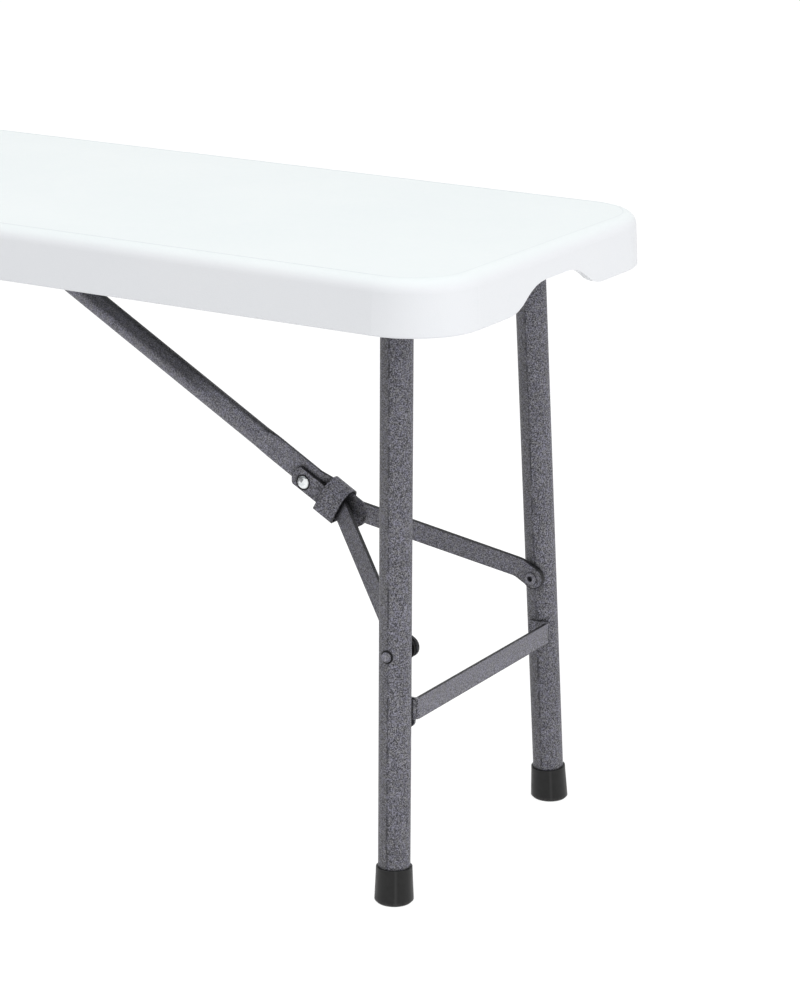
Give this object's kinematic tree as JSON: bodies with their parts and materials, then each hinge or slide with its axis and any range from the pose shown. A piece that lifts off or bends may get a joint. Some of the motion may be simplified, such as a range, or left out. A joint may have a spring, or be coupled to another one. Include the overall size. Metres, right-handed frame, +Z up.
{
  "type": "folding bench",
  "caption": "Long folding bench with a moulded seat on steel leg sets that swing up under it, each locked by a hinged Y-shaped brace with a sliding ring.",
  "frame": {"origin": "on the floor, under the middle of the seat", "axes": "+X along the seat towards its right end, +Y towards the back, +Z up"},
  "size_m": [1.8318, 0.3092, 0.44],
  "materials": {
    "seat_plastic": "blow-moulded white polyethylene, satin",
    "hammered_paint": "hammered grey powder coat on steel",
    "foot_rubber": "black rubber, soft sheen",
    "zinc_steel": "bright zinc plate",
    "black_plastic": "black nylon"
  },
  "bodies": {
    "seat": {"seat_top": "seat_plastic", "front_rail": "hammered_paint", "back_rail": "hammered_paint", "rail_screws": "zinc_steel", "right_front_hinge_plate": "zinc_steel", "right_back_hinge_plate": "zinc_steel", "right_hinge_screws": "zinc_steel", "right_brace_bracket": "zinc_steel", "right_bracket_screws": "zinc_steel", "right_bracket_pin": "zinc_steel", "left_front_hinge_plate": "zinc_steel", "left_back_hinge_plate": "zinc_steel", "left_hinge_screws": "zinc_steel", "left_brace_bracket": "zinc_steel", "left_bracket_screws": "zinc_steel", "left_bracket_pin": "zinc_steel"},
    "right_leg": {"right_cross_tube": "hammered_paint", "right_front_leg_tube": "hammered_paint", "right_back_leg_tube": "hammered_paint", "right_cross_strip": "hammered_paint", "right_front_foot_cap": "foot_rubber", "right_back_foot_cap": "foot_rubber", "right_leg_rivets": "hammered_paint", "right_leg_spacers": "black_plastic"},
    "right_upper_brace": {"right_upper_brace": "hammered_paint"},
    "right_lower_brace": {"right_front_brace_bar": "hammered_paint", "right_back_brace_bar": "hammered_paint", "right_knee_rivet": "zinc_steel", "right_bar_eyelets": "hammered_paint"},
    "right_lock_ring": {"right_lock_ring": "hammered_paint"},
    "left_leg": {"left_cross_tube": "hammered_paint", "left_front_leg_tube": "hammered_paint", "left_back_leg_tube": "hammered_paint", "left_cross_strip": "hammered_paint", "left_front_foot_cap": "foot_rubber", "left_back_foot_cap": "foot_rubber", "left_leg_rivets": "hammered_paint", "left_leg_spacers": "black_plastic"},
    "left_upper_brace": {"left_upper_brace": "hammered_paint"},
    "left_lower_brace": {"left_front_brace_bar": "hammered_paint", "left_back_brace_bar": "hammered_paint", "left_knee_rivet": "zinc_steel", "left_bar_eyelets": "hammered_paint"},
    "left_lock_ring": {"left_lock_ring": "hammered_paint"}
  },
  "joints": [
    {"name": "right_leg_fold", "type": "hinge", "parent": "seat", "child": "right_leg", "pos_m": [0.8455, 0, 0.4123], "axis": [0, 1, 0], "range_deg": [0, 90.64]},
    {"name": "right_brace_pivot", "type": "hinge", "parent": "seat", "child": "right_upper_brace", "pos_m": [0.4325, 0, 0.407], "axis": [0, 1, 0], "range_deg": [-29.11, 0]},
    {"name": "right_knee", "type": "hinge", "parent": "right_upper_brace", "child": "right_lower_brace", "pos_m": [0.71891, 0, 0.24728], "axis": [0, 1, 0], "range_deg": [0, 180.6]},
    {"name": "right_ring_slide", "type": "slide", "parent": "right_upper_brace", "child": "right_lock_ring", "axis": [-0.8734, 0, 0.4871], "range_m": [0, 0.33]},
    {"name": "left_leg_fold", "type": "hinge", "parent": "seat", "child": "left_leg", "pos_m": [-0.8455, 0, 0.4123], "axis": [0, -1, 0], "range_deg": [0, 90.64]},
    {"name": "left_brace_pivot", "type": "hinge", "parent": "seat", "child": "left_upper_brace", "pos_m": [-0.4325, 0, 0.407], "axis": [0, -1, 0], "range_deg": [-29.11, 0]},
    {"name": "left_knee", "type": "hinge", "parent": "left_upper_brace", "child": "left_lower_brace", "pos_m": [-0.71891, 0, 0.24728], "axis": [0, -1, 0], "range_deg": [0, 180.6]},
    {"name": "left_ring_slide", "type": "slide", "parent": "left_upper_brace", "child": "left_lock_ring", "axis": [0.8734, 0, 0.4871], "range_m": [0, 0.33]}
  ],
  "couplings": [
    {"joint": "right_brace_pivot", "follows": "right_leg_fold", "ratio": -0.3212},
    {"joint": "right_knee", "follows": "right_leg_fold", "ratio": 1.9926},
    {"joint": "right_ring_slide", "follows": "right_leg_fold", "m_per_rad": 0.20861},
    {"joint": "left_brace_pivot", "follows": "left_leg_fold", "ratio": -0.3212},
    {"joint": "left_knee", "follows": "left_leg_fold", "ratio": 1.9926},
    {"joint": "left_ring_slide", "follows": "left_leg_fold", "m_per_rad": 0.20861}
  ]
}
